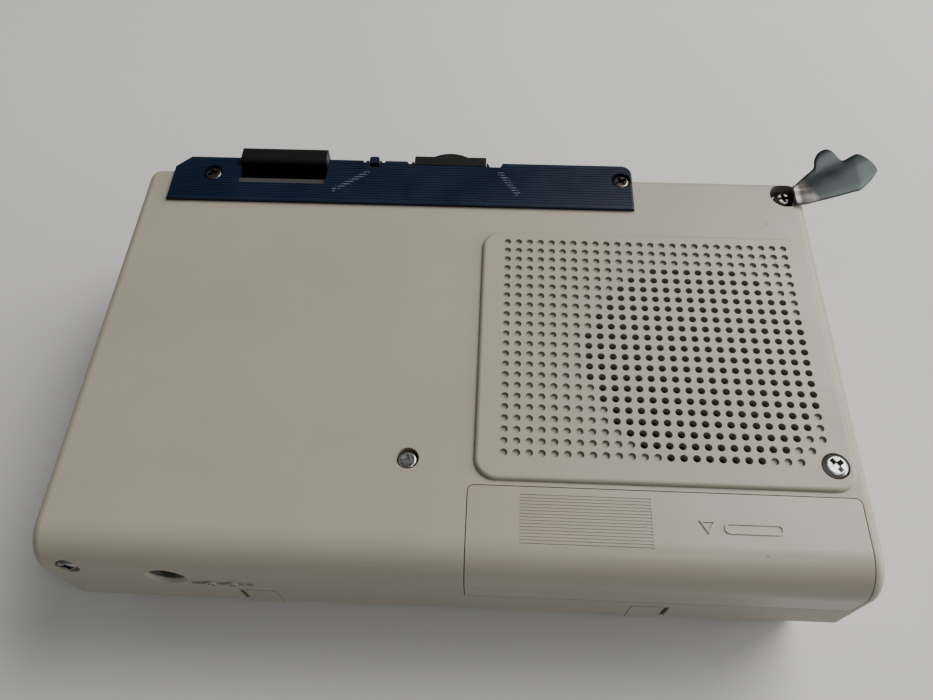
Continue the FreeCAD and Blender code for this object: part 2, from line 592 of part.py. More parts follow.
def idler_gear():
    """The idler turns a gap to the drive gear."""
    phase = heading(IDLER_C, CAPSTAN_C) + math.pi / IDLER_TEETH
    return gear(IDLER_C, IDLER_TEETH, GEAR_Z, 1.0 + FIT, phase)


def reel_gear():
    """The reel gear's phase is set by the idler's teeth at their own contact."""
    idler_phase = heading(IDLER_C, CAPSTAN_C) + math.pi / IDLER_TEETH
    reel = (-HUB_X, HUB_Y)
    toward = heading(IDLER_C, reel)
    offset = (toward - idler_phase) / (2 * math.pi / IDLER_TEETH)
    phase = heading(reel, IDLER_C) + (0.5 + offset) * (2 * math.pi / REEL_TEETH)
    return gear(reel, REEL_TEETH, GEAR_Z, 1.2, phase)


def spindle(side):
    """A reel spindle: splined head, flange and shaft."""
    centre = (side * HUB_X, HUB_Y)
    head = cone(centre, 2.6, 3.6, (4.0, 6.0)).fuse(cyl(centre, 3.6, (6.0, 14.4)))
    splines = []
    for k in range(6):
        fin = box((centre[0] + 3.3, centre[0] + 4.5), (centre[1] - 0.5, centre[1] + 0.5), (6.2, 12.5))
        fin.rotate(V(centre[0], centre[1], 0), Z_AXIS, 60 * k)
        splines.append(fin)
    flange = cyl(centre, 7.5, (14.3, 15.4))
    shaft = cyl(centre, 1.2, (15.3, 23.6))
    return fuse([head, flange, shaft] + splines)


def brake_drum():
    centre = (HUB_X, HUB_Y)
    return tube(centre, 6.0, 1.2, (18.3, 20.3))


def bearing_plate():
    z = (24.42, 25.4)
    plate = rounded_plate((-53, -18.4), (10.5, 42.0), z, 2.0)
    wing = rounded_plate((-24, -4.5), (10.5, 35.4), z, 2.0)
    bush = tube(CAPSTAN_C, 2.4, 1.0 + FIT, (24.1, 26.0))
    pin = cyl(IDLER_C, 1.0, (GEAR_Z[0], 24.6))
    body = fuse([plate, wing, bush, pin])
    return cut(body, [cyl(CAPSTAN_C, 1.0 + FIT, (10, 30)), rounded_plate((-20, -10), (16, 34), (20, 30), 2.0)])


def hull_of_circles(a, ra, b, rb, z):
    """The flat shape that a tight band round two circles encloses."""
    apart = math.dist(a, b)
    base = heading(a, b)
    lean = math.acos((ra - rb) / apart)
    ends = []
    for sign in (1, -1):
        turn = base + sign * lean
        ends.append(V(a[0] + ra * math.cos(turn), a[1] + ra * math.sin(turn), z[0]))
        ends.append(V(b[0] + rb * math.cos(turn), b[1] + rb * math.sin(turn), z[0]))
    order = [ends[0], ends[1], ends[3], ends[2]]
    quad = Part.Face(Part.makePolygon(order + order[:1])).extrude(V(0, 0, z[1] - z[0]))
    return fuse([quad, cyl(a, ra, z), cyl(b, rb, z)])


def drive_belt():
    z = (19.3, 20.5)
    outer = hull_of_circles(CAPSTAN_C, FLYWHEEL_R + 0.85, MOTOR_C, PULLEY_R + 0.85, z)
    inner = hull_of_circles(CAPSTAN_C, FLYWHEEL_R + 0.1, MOTOR_C, PULLEY_R + 0.1, z)
    return outer.cut(inner)


def motor_bracket():
    plate = rounded_plate((-75.5, -45.8), (-27.5, 12.5), (21.2, 22.4), 2.0)
    return plate.cut(cyl(MOTOR_C, 4.0, (20, 30)))


def motor():
    can = cyl(MOTOR_C, MOTOR_R, (22.42, 35.6))
    rim = edges_where(can, lambda c, e: c.z > 35.5 and e.Curve.TypeId == "Part::GeomCircle")
    can = can.makeFillet(1.6, rim)
    cap = cyl(MOTOR_C, 3.6, (21.4, 22.6))
    groove = tube(MOTOR_C, MOTOR_R + 1, MOTOR_R - 0.4, (26.0, 26.6))
    return cut(can.fuse(cap), [cyl(MOTOR_C, 1.0 + FIT, (20, 30)), groove])


def motor_pulley():
    hub = tube(MOTOR_C, PULLEY_R, 1.0, (18.6, 21.0))
    flanges = [tube(MOTOR_C, PULLEY_R + 1.3, 1.0, z) for z in ((18.0, 18.7), (20.9, 21.15))]
    return fuse([hub] + flanges)


def motor_shaft():
    return cyl(MOTOR_C, 1.0, (17.7, 29.5))


def head_bridge():
    plate = rounded_plate((-39.5, 24.0), (35.7, 40.0), (14.75, 15.65), 0.8)
    tab = box((-16.0, -8.6), (39.9, 40.9), (12.0, 15.65))
    pin = cyl((-37.4, 37.9), 0.9, (11.6, 14.8))
    return fuse([plate, tab, pin])


def play_head():
    shell = box((-6.2, 6.2), (35.5, 41.0), (4.6, 12.8))
    nose = edges_where(shell, lambda c, e: c.y < 35.6 and abs(c.x) > 6)
    shell = shell.makeFillet(2.2, nose)
    stand = box((-8.4, 8.4), (36.4, 40.0), (12.7, 14.73))
    slit = box((-0.12, 0.12), (35.0, 35.8), (5.5, 11.5))
    return shell.fuse(stand).cut(slit)


def erase_head():
    shell = box((12.0, 18.0), (35.6, 39.4), (5.2, 12.0))
    nose = edges_where(shell, lambda c, e: c.y < 35.7 and abs(c.x - 15) > 2.9)
    return shell.makeFillet(1.2, nose).fuse(box((13, 17), (36.6, 39.4), (11.9, 14.73)))


def pinch_arm():
    a, b = (-37.4, 37.9), ROLLER_C
    blade = hull_of_circles(a, 2.2, b, 2.0, (12.7, 13.6))
    pin = cyl(b, 0.9, (4.6, 12.8))
    return cut(fuse([blade, pin]), [cyl(a, 0.9 + FIT, (10, 20))])


def pinch_roller():
    tyre = tube(ROLLER_C, ROLLER_R, 0.9 + FIT, (5.2, 12.2))
    rim = edges_where(tyre, lambda c, e: e.Curve.TypeId == "Part::GeomCircle" and e.Curve.Radius > 3)
    return tyre.makeFillet(0.4, rim)


# ---- cassette door on the front face ----
def cassette_door():
    """The door plate, its near skirt with the two hinge ears, and the cassette holder's cheeks."""
    x = (-55.9, 55.9)
    high = SPLIT_Z - SPLIT_GAP
    skin = front_loft(0.25, 0, high).cut(front_loft(0.25 + 1.1, 2.0, high + 1))
    body = skin.common(box(x, (-60, 36.7), (-1, 20)))
    walls = []
    for side in (-1, 1):
        centre = side * EAR_X
        ear_x = (centre - EAR_W / 2, centre + EAR_W / 2)
        ear = box(ear_x, (-HALF_D, -47.0), (13.0, HINGE_Z))
        eye = cyl_x(-47.9, HINGE_Z, 1.1, ear_x)
        top = box(ear_x, (-HALF_D, -47.9), (HINGE_Z - 1, SPLIT_Z + 6.7))
        walls += [ear, eye.fuse(top).common(box(ear_x, (-HALF_D, -46), (10, 30)))]
        cheek = (side * 50.7, side * 51.7) if side > 0 else (-51.7, -50.7)
        walls.append(box(cheek, (-23.5, 33.5), (1.9, 12.8)))
        lip = (50.0, 51.7) if side > 0 else (-51.7, -50.0)
        walls.append(box(lip, (-20, 30), (1.9, 2.45)))
    walls.append(box((-44.0, 3.6), (-30.6, -29.4), (1.9, 11.0)))
    body = fuse([body] + walls)
    window = rounded_plate((-36, 36), (-14, 18), (-1, 3), 3.0)
    rebate = rounded_plate((-38, 38), (-16, 20), (1.0, 3), 4.0)
    grips = [box((x0, x0 + 0.9), (30.5, 35.0), (-1, 0.35)) for x0 in (k * 2.0 - 12 for k in range(13))]
    pins = [cyl_x(HINGE_Y, HINGE_Z, 0.7, (s * EAR_X - 6, s * EAR_X + 6)) for s in (-1, 1)]
    return cut(body, [window, rebate] + grips + pins)


def door_window():
    pane = rounded_plate((-35.8, 35.8), (-13.8, 17.8), (0.0, 1.05), 2.8)
    flange = rounded_plate((-37.8, 37.8), (-15.8, 19.8), (1.02, 1.9), 3.8)
    return pane.fuse(flange)


def door_pins():
    made = []
    for side in (-1, 1):
        start = side * EAR_X
        made.append(cyl_x(HINGE_Y, HINGE_Z, 0.7, (start - 5.1, start + 5.1)))
    return made


# ---- speaker ----
def speaker_frame():
    c = SPEAKER_C
    ring = tube(c, SPEAKER_R, 23.2, (35.0, 36.5))
    outside = cone(c, 13.5, 24.6, (27.4, 35.2))
    inside = cone(c, 12.7, 23.8, (27.4, 35.3))
    basket = outside.cut(inside)
    seat = tube(c, 13.5, 5.4, (26.6, 27.6))
    windows = []
    for k in range(4):
        window = box((c[0] - 6, c[0] + 6), (c[1] + 12, c[1] + 30), (28.6, 33.6))
        window.rotate(V(c[0], c[1], 0), Z_AXIS, 45 + 90 * k)
        windows.append(window)
    return cut(fuse([ring, basket, seat]), windows)


def speaker_magnet():
    ring = tube(SPEAKER_C, 14.0, 7.0, (20.6, 26.5))
    plates = cyl(SPEAKER_C, 13.0, (19.5, 20.7)).fuse(cyl(SPEAKER_C, 4.0, (20.6, 27.0)))
    return ring.fuse(plates)


def speaker_cone():
    c = SPEAKER_C
    skirt = cone(c, 7.0, 22.4, (28.8, 34.8)).cut(cone(c, 6.6, 22.0, (28.8, 34.81)))
    edge = tube(c, 22.7, 21.9, (34.6, 35.0))
    coil = tube(c, 5.2, 4.9, (25.0, 29.0))
    neck = tube(c, 7.0, 4.9, (28.8, 29.2))
    return fuse([skirt, edge, coil, neck])


def dust_cap():
    ball = Part.makeSphere(10.0, V(SPEAKER_C[0], SPEAKER_C[1], 22.6))
    shell = ball.cut(Part.makeSphere(9.6, V(SPEAKER_C[0], SPEAKER_C[1], 22.6)))
    return shell.common(box((20, 80), (-40, 40), (30.4, 40)))


def speaker_gasket():
    return tube(SPEAKER_C, SPEAKER_R, 24.0, (36.52, ROOF_IN - 0.02))


# ---- electronics ----
def circuit_board():
    board = rounded_plate((-46, 20), (-20, 32.4), (31.0, 32.4), 1.0)
    return cut(board, [cyl(c, 1.3, (30, 34)) for c in ((-40, -14), (14, -14), (-12, 28))])


def board_parts():
    """The larger components on the side of the board that faces the mechanism."""
    high = 30.98
    cans = ((-36, -2, 4.0, 5.5), (-36, 8, 3.2, 4.6), (10, 4, 4.0, 5.2), (12, -6, 2.6, 4.6), (-2, -16, 2.6, 4.6))
    made = [cyl((x, y), r, (high - h, high)) for x, y, r, h in cans]
    chips = ((-22, -12, 19, 6.4), (-6, 2, 10, 5.0), (-26, -2, 7.6, 6.4))
    made += [box((x, x + w), (y, y + d), (high - 2.6, high)) for x, y, w, d in chips]
    small = [(-42 + 5.2 * k, 26.5) for k in range(5)] + [(-4 + 4.4 * k, 10.5) for k in range(4)]
    made += [box((x, x + 3.4), (y, y + 1.5), (high - 1.8, high)) for x, y in small]
    return made


def board_screws():
    made = []
    for x, y in ((-40, -14), (14, -14), (-12, 28)):
        screw = pan_screw(2.2, 1.3, 0.75, 4.4)
        screw.rotate(V(0, 0, 0), X_AXIS, 180)
        screw.translate(V(x, y, 30.98))
        made.append(screw)
    return made


def power_socket():
    x, z = JACK_X, JACK_Z
    body = box((x - 4.6, x + 4.6), (-45.1, -36.0), (z - 4.4, z + 3.5))
    collar = cyl_y(x, z, 3.35, (-48.2, -45.0))
    bore = cyl_y(x, z, 2.5, (-60, -38.0))
    lead_in = Part.makeCone(3.0, 2.5, 0.6, V(x, -48.21, z), Y_AXIS)
    return cut(body.fuse(collar), [bore, lead_in])


def power_pin():
    pin = cyl_y(JACK_X, JACK_Z, 0.85, (-46.4, -38.0))
    tip = edges_where(pin, lambda c, e: c.y < -46.3)
    return pin.makeFillet(0.5, tip)


def audio_socket(y):
    body = box((-76.9, -66.0), (y - 4.2, y + 4.2), (SOCKET_Z - 4.0, SOCKET_Z + 4.0))
    collar = cyl_x(y, SOCKET_Z, 2.5, (-HALF_W + 0.1, -76.8))
    return body.fuse(collar).cut(cyl_x(y, SOCKET_Z, 1.8, (-90, -68.0)))


def power_lamp():
    x, z = LAMP_AT
    stem = cyl_y(x, z, 1.5, (47.4, 51.6))
    dome = Part.makeSphere(1.5, V(x, 51.6, z))
    rim = cyl_y(x, z, 1.9, (46.8, 47.5))
    return fuse([stem, dome, rim])


def microphone():
    return cyl_y(27.4, 30.0, 3.0, (46.2, 50.2))


# ---- strap tab ----
def strap_tab():
    """An eye round the corner screw, a fold up out of its recess, and a two-lobed blade."""
    cx, cy = CORNER_SCREW
    eye = cyl(CORNER_SCREW, 3.25, (35.15, 36.4))
    fold = tube(CORNER_SCREW, 3.25, 2.3, (36.3, 39.6))
    fold = fold.common(box((cx + 0.4, cx + 5), (cy - 2.7, cy + 2.7), (36, 41)))
    outline = [(76.4, 46.5), (82.8, 52.2), (83.4, 54.7), (84.7, 57.1), (86.7, 58.3), (88.1, 57.4),
               (89.8, 54.5), (92.1, 55.9), (93.9, 56.8), (95.2, 55.6), (96.9, 52.9), (97.4, 50.8),
               (95.9, 48.7), (92.1, 44.6), (90.6, 44.4), (86.2, 42.9), (82.1, 41.7), (79.2, 41.1),
               (77.4, 40.3), (76.4, 41.6)]
    points = [V(x, y, 0) for x, y in outline]
    blade = Part.Face(Part.makePolygon(points + points[:1])).extrude(V(0, 0, 60))
    side = [(76.9, 39.12), (80.0, 39.14), (84.0, 40.0), (99, 40.8), (99, 41.9), (83.7, 41.1),
            (79.8, 40.24), (76.9, 40.2)]
    strip = [V(x, 38, z) for x, z in side]
    ribbon = Part.Face(Part.makePolygon(strip + strip[:1])).extrude(V(0, 22, 0))
    made = fuse([eye, fold, ribbon.common(blade)])
    return made.cut(cyl(CORNER_SCREW, 1.25 + FIT * 2, (30, 50)))


# ---- write every part ----
export("back_shell", back_shell())
export("speaker_grille", speaker_grille())
export("front_shell", front_shell())
export("battery_door", battery_door())
export("battery_box", battery_box())
export("battery_contacts", *battery_contacts())
export("battery_springs", *battery_springs())
export("case_screws", *case_screws())
export("control_panel", control_panel())
for key_name, key_centre in KEY_X.items():
    export(f"{key_name}_key", key_cap(key_centre))
export("key_springs", *key_springs())
export("key_frame", *key_frame())
export("stop_eject_key", stop_eject_key())
export("key_guide", key_guide())
export("lock_button", lock_button())
export("volume_surround", volume_surround())
export("volume_wheel", volume_wheel())
export("volume_pot", volume_pot())
export("control_board", control_board())
export("panel_screws", *[screw_at(*c, PANEL_SCREW_Z + 0.02, head_h=1.3, spin=30, length=10.8) for c in PANEL_SCREWS])
export("chassis_plate", chassis_plate())
export("inner_screws", *chassis_screws(), *board_screws())
export("flywheel", flywheel())
export("capstan", capstan())
export("drive_gear", drive_gear())
export("idler_gear", idler_gear())
export("reel_gear", reel_gear())
export("take_up_spindle", spindle(-1))
export("supply_spindle", spindle(1))
export("brake_drum", brake_drum())
export("bearing_plate", bearing_plate())
export("drive_belt", drive_belt())
export("motor_bracket", motor_bracket())
export("motor", motor())
export("motor_pulley", motor_pulley())
export("motor_shaft", motor_shaft())
export("head_bridge", head_bridge())
export("play_head", play_head())
export("erase_head", erase_head())
export("pinch_arm", pinch_arm())
export("pinch_roller", pinch_roller())
export("cassette_door", cassette_door())
export("door_window", door_window())
export("door_pins", *door_pins())
export("speaker_frame", speaker_frame())
export("speaker_magnet", speaker_magnet())
export("speaker_cone", speaker_cone(), dust_cap())
export("speaker_gasket", speaker_gasket())
export("circuit_board", circuit_board())
export("board_parts", *board_parts())
export("power_socket", power_socket(), power_pin())
for socket_name, socket_y in SOCKET_Y.items():
    export(f"{socket_name}_socket", audio_socket(socket_y))
export("power_lamp", power_lamp())
export("microphone", microphone())
export("strap_tab", strap_tab())
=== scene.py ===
import math

import bpy
from mathutils import Matrix, Vector


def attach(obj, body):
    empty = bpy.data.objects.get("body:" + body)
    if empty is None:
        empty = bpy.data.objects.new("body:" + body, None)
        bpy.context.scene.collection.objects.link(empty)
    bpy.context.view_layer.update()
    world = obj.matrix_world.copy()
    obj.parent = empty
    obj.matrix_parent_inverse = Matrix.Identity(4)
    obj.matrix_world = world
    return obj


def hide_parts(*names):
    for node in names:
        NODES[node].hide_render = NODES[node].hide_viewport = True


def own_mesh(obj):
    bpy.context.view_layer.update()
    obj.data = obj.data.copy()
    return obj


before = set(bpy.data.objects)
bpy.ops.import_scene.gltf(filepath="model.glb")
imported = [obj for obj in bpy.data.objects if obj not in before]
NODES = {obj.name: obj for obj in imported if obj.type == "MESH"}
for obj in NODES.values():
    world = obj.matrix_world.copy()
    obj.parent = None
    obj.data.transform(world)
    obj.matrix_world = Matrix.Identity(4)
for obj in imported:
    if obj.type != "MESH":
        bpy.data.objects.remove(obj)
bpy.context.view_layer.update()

MM = 0.001

# ---- camera, light and floor ----
LENS, SENSOR = 30.41, 36.0
CAMERA_AT = Vector((6.46, -87.9, 181.98)) * MM
CAMERA_RIGHT = Vector((0.99898, 0.04352, -0.01193))
CAMERA_BACK = Vector((0.03276, -0.51764, 0.85497))
SKY_TINT, SKY_STRENGTH = (0.95, 0.97, 1.0, 1), 0.20
LIT_POINT = (0.02, 0.0, 0.03)
WARM_WHITE = (1.0, 0.975, 0.94)
# Each light: place in metres, width and height in metres, watts, colour.
LIGHTS = {
    "key_light": ((0.75, 0.55, 0.95), 0.9, 0.9, 24.0, WARM_WHITE),
    "lamp_glint": ((0.33, -0.30, 0.95), 0.26, 0.06, 1.0, WARM_WHITE),
    "rim_light": ((1.1, -0.05, 0.25), 0.7, 0.5, 8.5, (1, 1, 1)),
}
FLOOR_HALF = 3.0
FLOOR_TONES = [(0.3, (0.53, 0.53, 0.52)), (0.7, (0.58, 0.58, 0.57))]


def make_camera():
    data = bpy.data.cameras.new("camera")
    data.lens, data.sensor_width = LENS, SENSOR
    data.clip_start, data.clip_end = 0.01, 10.0
    camera = bpy.data.objects.new("camera", data)
    bpy.context.scene.collection.objects.link(camera)
    back = CAMERA_BACK.normalized()
    right = (CAMERA_RIGHT - back * CAMERA_RIGHT.dot(back)).normalized()
    turn = Matrix((right, back.cross(right), back)).transposed()
    camera.matrix_world = Matrix.Translation(CAMERA_AT) @ turn.to_4x4()
    bpy.context.scene.camera = camera


def area_light(name, place, width, height, power, colour):
    data = bpy.data.lights.new(name, "AREA")
    data.shape = "RECTANGLE"
    data.size, data.size_y = width, height
    data.energy, data.color = power, colour
    lamp = bpy.data.objects.new(name, data)
    bpy.context.scene.collection.objects.link(lamp)
    lamp.location = place
    lamp.rotation_euler = (Vector(LIT_POINT) - Vector(place)).to_track_quat("-Z", "Y").to_euler()


def make_light():
    world = bpy.data.worlds.new("studio")
    bpy.context.scene.world = world
    world.use_nodes = True
    sky = world.node_tree.nodes["Background"]
    sky.inputs["Color"].default_value = SKY_TINT
    sky.inputs["Strength"].default_value = SKY_STRENGTH
    for name, settings in LIGHTS.items():
        area_light(name, *settings)


def make_floor():
    half = FLOOR_HALF
    mesh = bpy.data.meshes.new("floor")
    corners = [(-half, -half, 0), (half, -half, 0), (half, half, 0), (-half, half, 0)]
    mesh.from_pydata(corners, [], [(0, 1, 2, 3)])
    floor = bpy.data.objects.new("floor", mesh)
    bpy.context.scene.collection.objects.link(floor)
    pale = Graph("floor_pale")
    tone = pale.noise(pale.place(), 3.0, 3)
    pale.colour(pale.ramp(tone, FLOOR_TONES))
    pale.set("Roughness", 0.85)
    mesh.materials.append(pale.material)


# ---- material building ----
class Graph:
    """A node material with one Principled shader, and short calls that add the usual nodes."""

    def __init__(self, name):
        self.material = bpy.data.materials.new(name)
        self.material.use_nodes = True
        self.tree = self.material.node_tree
        self.shader = self.tree.nodes["Principled BSDF"]

    def node(self, kind, **settings):
        made = self.tree.nodes.new(kind)
        for key, value in settings.items():
            setattr(made, key, value)
        return made

    def feed(self, socket, value):
        """Links value to the socket if it is a socket, or sets it as the socket's own value."""
        if isinstance(value, bpy.types.NodeSocket):
            self.tree.links.new(value, socket)
        elif isinstance(value, tuple) and socket.type == "RGBA":
            socket.default_value = (*value[:3], 1)
        else:
            socket.default_value = value

    def set(self, name, value):
        self.feed(self.shader.inputs[name], value)

    def colour(self, value):
        self.set("Base Color", value)

    def place(self, stretch=(1, 1, 1), turn=0.0, shift=(0, 0, 0)):
        """Points of the piece in metres, stretched, turned about Z and shifted."""
        source = self.node("ShaderNodeTexCoord").outputs["Object"]
        mapping = self.node("ShaderNodeMapping", vector_type="POINT")
        self.feed(mapping.inputs["Vector"], source)
        mapping.inputs["Rotation"].default_value = (0, 0, turn)
        mapping.inputs["Scale"].default_value = stretch
        mapping.inputs["Location"].default_value = shift
        return mapping.outputs["Vector"]

    def noise(self, vector, scale, detail=2, rough=0.5):
        made = self.node("ShaderNodeTexNoise")
        self.feed(made.inputs["Vector"], vector)
        self.feed(made.inputs["Scale"], scale)
        self.feed(made.inputs["Detail"], detail)
        self.feed(made.inputs["Roughness"], rough)
        return made.outputs["Fac"]

    def cells(self, vector, scale, feature="F1", output="Distance"):
        made = self.node("ShaderNodeTexVoronoi", feature=feature)
        self.feed(made.inputs["Vector"], vector)
        self.feed(made.inputs["Scale"], scale)
        return made.outputs[output]

    def maths(self, operation, a, b=0.0):
        made = self.node("ShaderNodeMath", operation=operation)
        for socket, value in zip(made.inputs, (a, b)):
            self.feed(socket, value)
        return made.outputs[0]

    def between(self, value, low, high, out_low=0.0, out_high=1.0):
        made = self.node("ShaderNodeMapRange", interpolation_type="SMOOTHSTEP")
        for name, given in (("Value", value), ("From Min", low), ("From Max", high),
                            ("To Min", out_low), ("To Max", out_high)):
            self.feed(made.inputs[name], given)
        return made.outputs["Result"]

    def ramp(self, fac, stops):
        made = self.node("ShaderNodeValToRGB")
        self.feed(made.inputs["Fac"], fac)
        elements = made.color_ramp.elements
        while len(elements) < len(stops):
            elements.new(0.5)
        for element, (at, value) in zip(elements, stops):
            element.position = at
            element.color = (*value, 1)
        return made.outputs["Color"]

    def mix(self, fac, a, b):
        made = self.node("ShaderNodeMix", data_type="RGBA")
        self.feed(made.inputs["Factor"], fac)
        sockets = [s for s in made.inputs if s.type == "RGBA"]
        self.feed(sockets[0], a)
        self.feed(sockets[1], b)
        return [s for s in made.outputs if s.type == "RGBA"][0]

    def bump(self, height, distance):
        made = self.node("ShaderNodeBump")
        self.feed(made.inputs["Height"], height)
        self.feed(made.inputs["Distance"], distance)
        self.feed(made.inputs["Strength"], 1.0)
        return made.outputs["Normal"]

    def split(self, vector):
        made = self.node("ShaderNodeSeparateXYZ")
        self.feed(made.inputs[0], vector)
        return made.outputs


GRAIN_DEPTH = 0.03 * MM
ACRYLIC_IOR = 1.49
SCRATCH_LONG, SCRATCH_WIDE, SCRATCH_PALER = 20 * MM, 0.35 * MM, 1.22
GRIME_SPACING, GRIME_R, GRIME_SHARE, GRIME_DARKER = 10 * MM, 0.45 * MM, 0.40, 0.42


def hairlines(g, turn, share):
    """0 to 1 on a few fine scratches that lie along one direction."""
    lines = g.noise(g.place((1 / SCRATCH_LONG, 1 / SCRATCH_WIDE, 1 / SCRATCH_LONG), turn), 1.0, 1)
    patches = g.noise(g.place(shift=(turn, 2 * turn, 0)), 45.0, 1)
    fine = g.between(lines, 1 - share, 1 - share + 0.02)
    return g.maths("MULTIPLY", fine, g.between(patches, 0.55, 0.68))


def specks(g, spacing, radius, keep):
    """0 to 1 on small round marks, one in some of the cells of the given spacing."""
    vector = g.place()
    spot = g.between(g.cells(vector, 1 / spacing), radius / spacing, 0.4 * radius / spacing)
    chance = g.split(g.cells(vector, 1 / spacing, output="Color"))[0]
    return g.maths("MULTIPLY", spot, g.between(chance, 1 - keep, 1 - keep + 0.01))


def moulded(name, base, rough, vary=0.05, grain=0.5, wear=0.0, warm=0.0, gloss=0.5):
    """Moulded plastic: mottled colour, fine spark-eroded grain, faint scratches and marks."""
    g = Graph(name)
    slow = g.noise(g.place(), 28.0, 3)
    light = tuple(min(1.0, c * (1 + vary)) for c in base)
    dark = tuple(c * (1 - vary) * (1 - warm * k) for k, c in enumerate(base))
    tint = g.ramp(slow, [(0.3, dark), (0.7, light)])
    fine = g.noise(g.place(), 1900.0, 2)
    tint = g.mix(g.between(fine, 0.35, 0.75, 0.0, 0.35), tint, dark)
    height = fine
    if wear:
        scratch = g.maths("MAXIMUM", hairlines(g, 0.35, 0.30), hairlines(g, -0.6, 0.29))
        pale = tuple(min(1.0, c * SCRATCH_PALER) for c in base)
        tint = g.mix(g.maths("MULTIPLY", scratch, wear), tint, pale)
        grime = specks(g, GRIME_SPACING, GRIME_R, GRIME_SHARE)
        tint = g.mix(g.maths("MULTIPLY", grime, 0.65), tint, tuple(c * GRIME_DARKER for c in base))
        height = g.maths("SUBTRACT", fine, g.maths("MULTIPLY", scratch, 0.8))
    g.colour(tint)
    smear = g.noise(g.place((1, 1.6, 1)), 16.0, 4, 0.6)
    g.set("Roughness", g.between(smear, 0.3, 0.75, rough - 0.06, rough + 0.08))
    g.set("Specular IOR Level", gloss)
    g.set("Normal", g.bump(height, GRAIN_DEPTH * grain))
    return g


def metal(name, base, rough, brushed=0.0, turn=0.0, tarnish=None, grain=0.4):
    """Metal with fine tooling marks and a little uneven tarnish."""
    g = Graph(name)
    g.set("Metallic", 1.0)
    blotch = g.noise(g.place(), 220.0, 4, 0.6)
    darker = tarnish or tuple(c * 0.72 for c in base)
    tint = g.ramp(blotch, [(0.35, darker), (0.62, base)])
    stretch = (1 + 30 * brushed, 1, 1) if brushed else (1, 1, 1)
    marks = g.noise(g.place(stretch, turn), 900.0, 3)
    g.colour(g.mix(g.between(marks, 0.55, 0.8, 0, 0.3), tint, darker))
    g.set("Roughness", g.between(blotch, 0.25, 0.8, rough - 0.07, rough + 0.12))
    g.set("Normal", g.bump(marks, GRAIN_DEPTH * grain))
    return g


def segment_mask(g, start, end, width):
    """0 to 1 within width of the line between two points of the top face, in millimetres."""
    ax, ay = start
    bx, by = end
    length = math.hypot(bx - ax, by - ay)
    ux, uy = (bx - ax) / length, (by - ay) / length
    parts = g.split(g.place(shift=(-ax * MM, -ay * MM, 0)))
    along = g.maths("ADD", g.maths("MULTIPLY", parts[0], ux), g.maths("MULTIPLY", parts[1], uy))
    aside = g.maths("SUBTRACT", g.maths("MULTIPLY", parts[0], uy), g.maths("MULTIPLY", parts[1], ux))
    aside = g.maths("ABSOLUTE", aside)
    near = g.between(aside, width * MM, 0.4 * width * MM)
    inside = g.maths("MULTIPLY", g.maths("GREATER_THAN", along, 0.0),
                     g.maths("LESS_THAN", along, length * MM))
    return g.maths("MULTIPLY", near, inside)


RIB_PITCH = 0.8 * MM
# Each row of scuffs on the panel: start, end and half width, in millimetres.
SCUFF_ROWS = (((-33.4, 42.0), (-25.0, 48.4), 0.9), ((6.9, 49.2), (11.6, 42.0), 1.0))


def panel_material():
    """Navy panel: its ribs are in the mesh, and here are dust, chips and two rows of scuffs."""
    g = Graph("panel_navy")
    slow = g.noise(g.place(), 60.0, 4, 0.6)
    tint = g.ramp(slow, [(0.3, (0.0016, 0.0064, 0.0190)), (0.7, (0.0028, 0.0100, 0.0265))])
    fine = g.noise(g.place((1, 9, 1)), 700.0, 2)
    dust = g.maths("MULTIPLY", g.between(fine, 0.62, 0.78), g.between(slow, 0.42, 0.62, 0, 0.35))
    tint = g.mix(dust, tint, (0.035, 0.060, 0.090))
    scuff = g.maths("ADD", *[segment_mask(g, *row) for row in SCUFF_ROWS])
    parts = g.split(g.place())
    crest = g.maths("SINE", g.maths("MULTIPLY", parts[1], 2 * math.pi / RIB_PITCH))
    broken = g.between(g.noise(g.place(), 1500.0, 1), 0.34, 0.50)
    rubbed = g.maths("MULTIPLY", g.maths("MULTIPLY", scuff, g.between(crest, -0.2, 0.5)), broken)
    tint = g.mix(g.maths("MULTIPLY", rubbed, 0.6), tint, (0.14, 0.18, 0.22))
    chips = specks(g, 11 * MM, 0.35 * MM, 0.35)
    tint = g.mix(g.maths("MULTIPLY", chips, 0.5), tint, (0.16, 0.19, 0.22))
    g.colour(tint)
    g.set("Roughness", g.between(slow, 0.3, 0.7, 0.33, 0.46))
    g.set("Specular IOR Level", 0.22)
    g.set("Normal", g.bump(fine, 0.4 * GRAIN_DEPTH))
    return g.material


def window_material():
    """Smoky clear plastic with fine scratches."""
    g = Graph("window_smoke")
    tone = g.noise(g.place(), 40.0, 2)
    g.colour(g.ramp(tone, [(0.3, (0.10, 0.11, 0.12)), (0.7, (0.14, 0.15, 0.16))]))
    marks = hairlines(g, 0.2, 0.30)
    g.set("Roughness", g.between(g.maths("ADD", marks, tone), 0.3, 1.4, 0.06, 0.35))
    g.set("Transmission Weight", 0.75)
    g.set("IOR", ACRYLIC_IOR)
    g.set("Normal", g.bump(tone, GRAIN_DEPTH / 3))
    return g.material


def cone_material():
    """Pressed paper: dark, fibrous and dull."""
    g = Graph("cone_paper")
    fibre = g.noise(g.place((1, 1, 4)), 1300.0, 4, 0.7)
    g.colour(g.ramp(fibre, [(0.3, (0.006, 0.006, 0.006)), (0.75, (0.022, 0.021, 0.020))]))
    g.set("Roughness", 0.9)
    g.set("Normal", g.bump(fibre, 2 * GRAIN_DEPTH))
    return g.material


